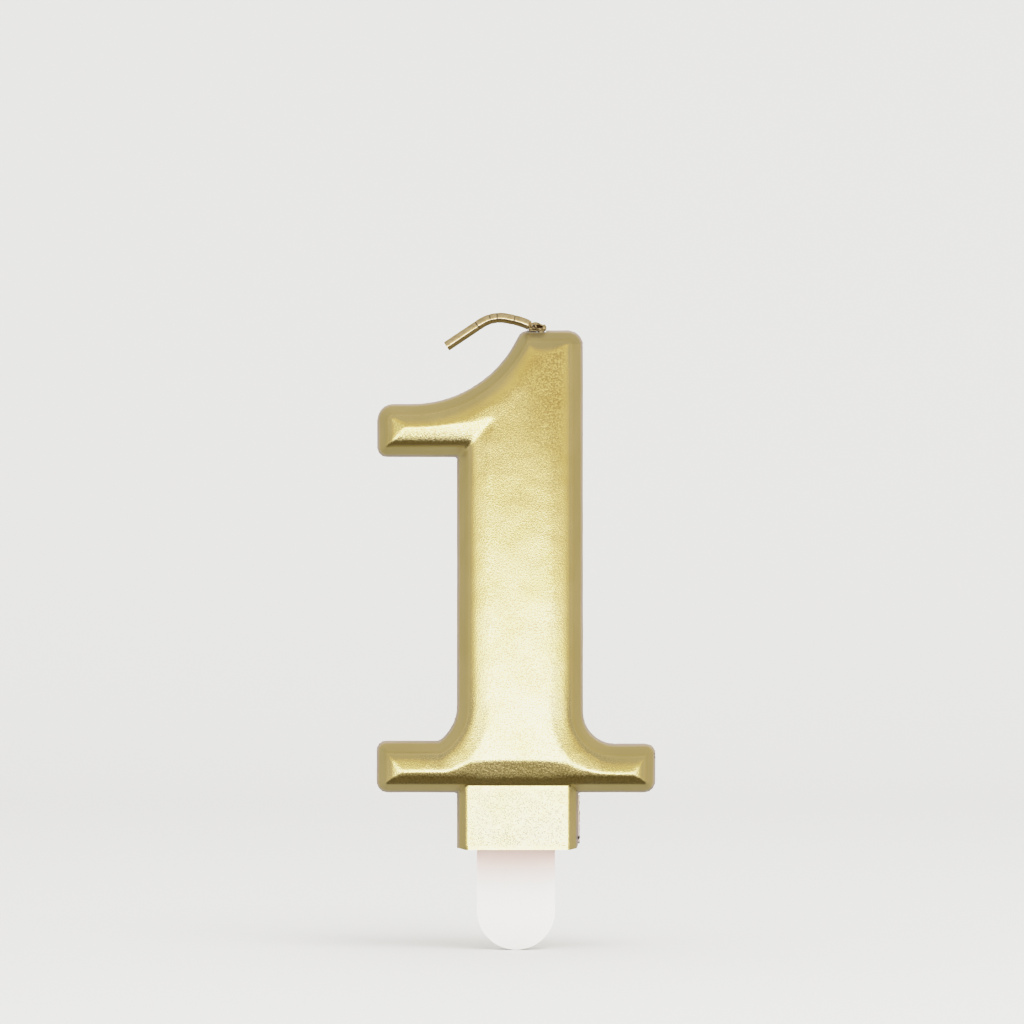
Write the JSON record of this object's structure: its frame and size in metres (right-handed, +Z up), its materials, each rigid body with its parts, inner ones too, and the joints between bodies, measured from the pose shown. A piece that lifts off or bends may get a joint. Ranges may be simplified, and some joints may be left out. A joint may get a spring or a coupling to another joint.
{
  "type": "number candle",
  "caption": "Wax birthday candle in the shape of the numeral 1, gold lacquered, with a bent wick, on a white plastic blade that is pushed into a cake.",
  "frame": {"origin": "on the blade's axis, halfway through its thickness, at the level of the wax plinth's flat underside, which rests on the cake", "axes": "+Z up along the stem towards the wick, front faces -Y, +X to the right of someone reading the numeral from the front"},
  "size_m": [0.041, 0.0126, 0.0937],
  "materials": {
    "gold_wax": "satin",
    "wick_coat": "satin",
    "white_plastic": "satin"
  },
  "bodies": {
    "holder": {"cake_holder": "white_plastic"},
    "candle": {"numeral_body": "gold_wax", "wick": "wick_coat"}
  },
  "joints": [
    {"name": "candle_lift", "type": "slide", "parent": "holder", "child": "candle", "axis": [0, 0, 1], "range_m": [0, 0.0125]}
  ]
}
